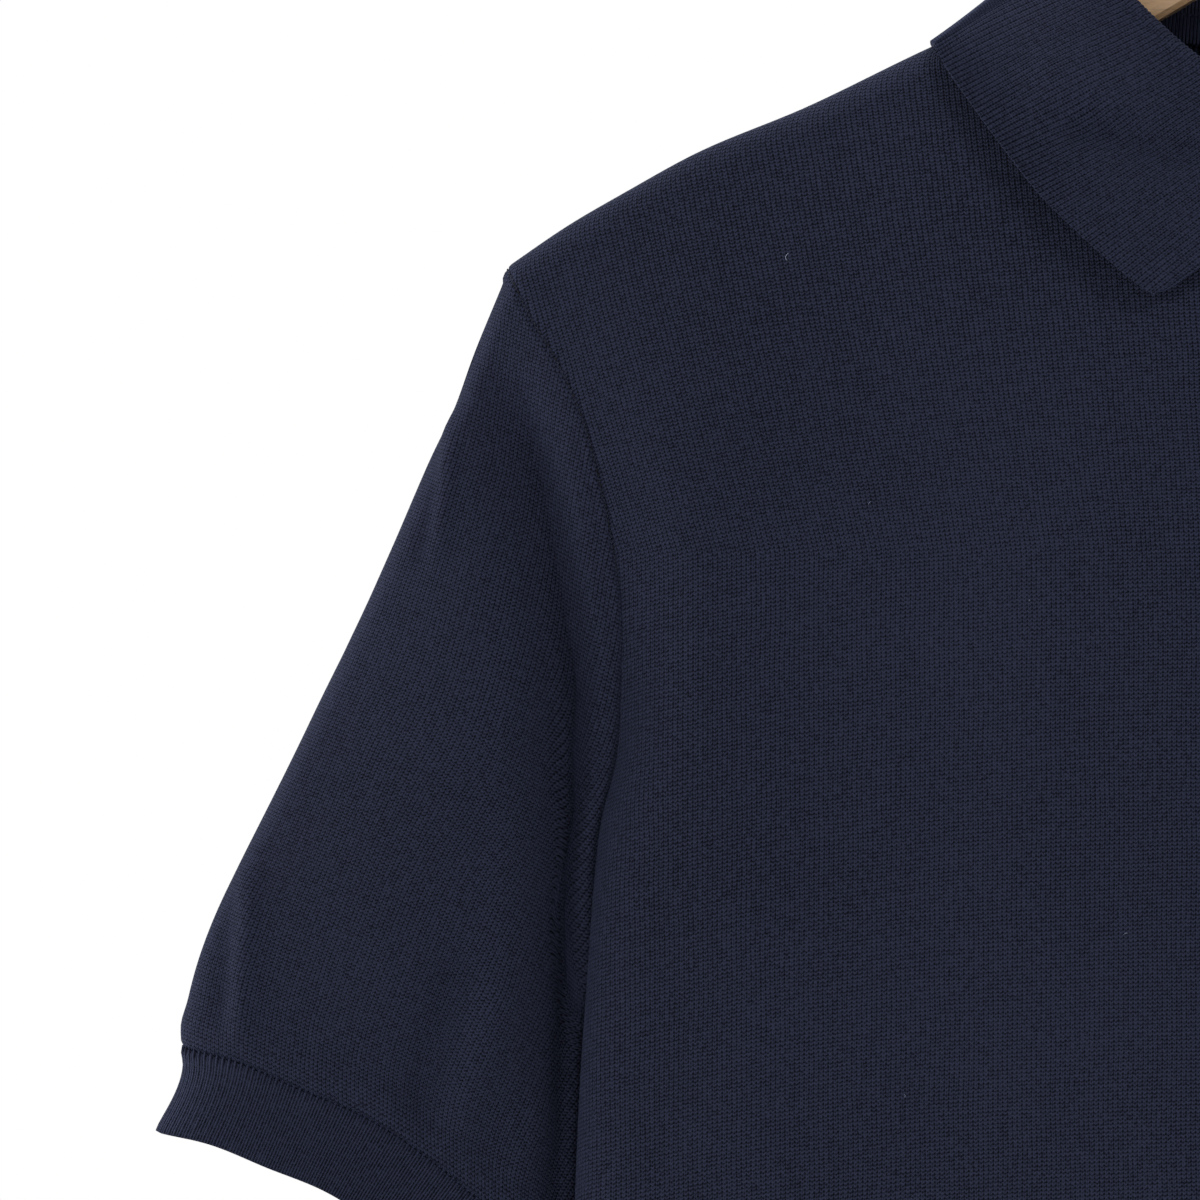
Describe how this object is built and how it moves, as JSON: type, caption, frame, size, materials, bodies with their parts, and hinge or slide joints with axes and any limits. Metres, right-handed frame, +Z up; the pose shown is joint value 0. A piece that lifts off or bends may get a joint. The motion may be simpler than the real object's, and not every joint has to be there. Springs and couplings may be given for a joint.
{
  "type": "short-sleeved polo sweater on a wooden clothes hanger",
  "caption": "Fine-knit short-sleeved polo sweater with a rib collar, buttoned placket and rib cuffs and hem, hanging open and hollow on a flat wooden hanger with a wire hook.",
  "frame": {"origin": "the top of the hook's inside, where it bears on the rail that holds it", "axes": "+Z up, -Y out of the front of the sweater, +X toward the wearer's left"},
  "size_m": [0.643, 0.0642, 0.7653],
  "materials": {
    "jersey_knit": "fine navy stocking-stitch knit, matt",
    "rib_knit": "navy one-by-one rib knit, matt",
    "button": "dark navy polished plastic",
    "beech": "clear satin lacquer on light beech",
    "hook_steel": "plated steel wire"
  },
  "bodies": {
    "root": {"front": "jersey_knit", "back": "jersey_knit", "sleeve_left": "jersey_knit", "sleeve_right": "jersey_knit", "cuff_left": "rib_knit", "cuff_right": "rib_knit", "hem_front": "rib_knit", "hem_back": "rib_knit", "collar": "rib_knit", "placket_upper": "rib_knit", "placket_under": "rib_knit", "button_1": "button", "button_2": "button", "button_3": "button", "hanger": "beech", "hook": "hook_steel"}
  },
  "joints": []
}
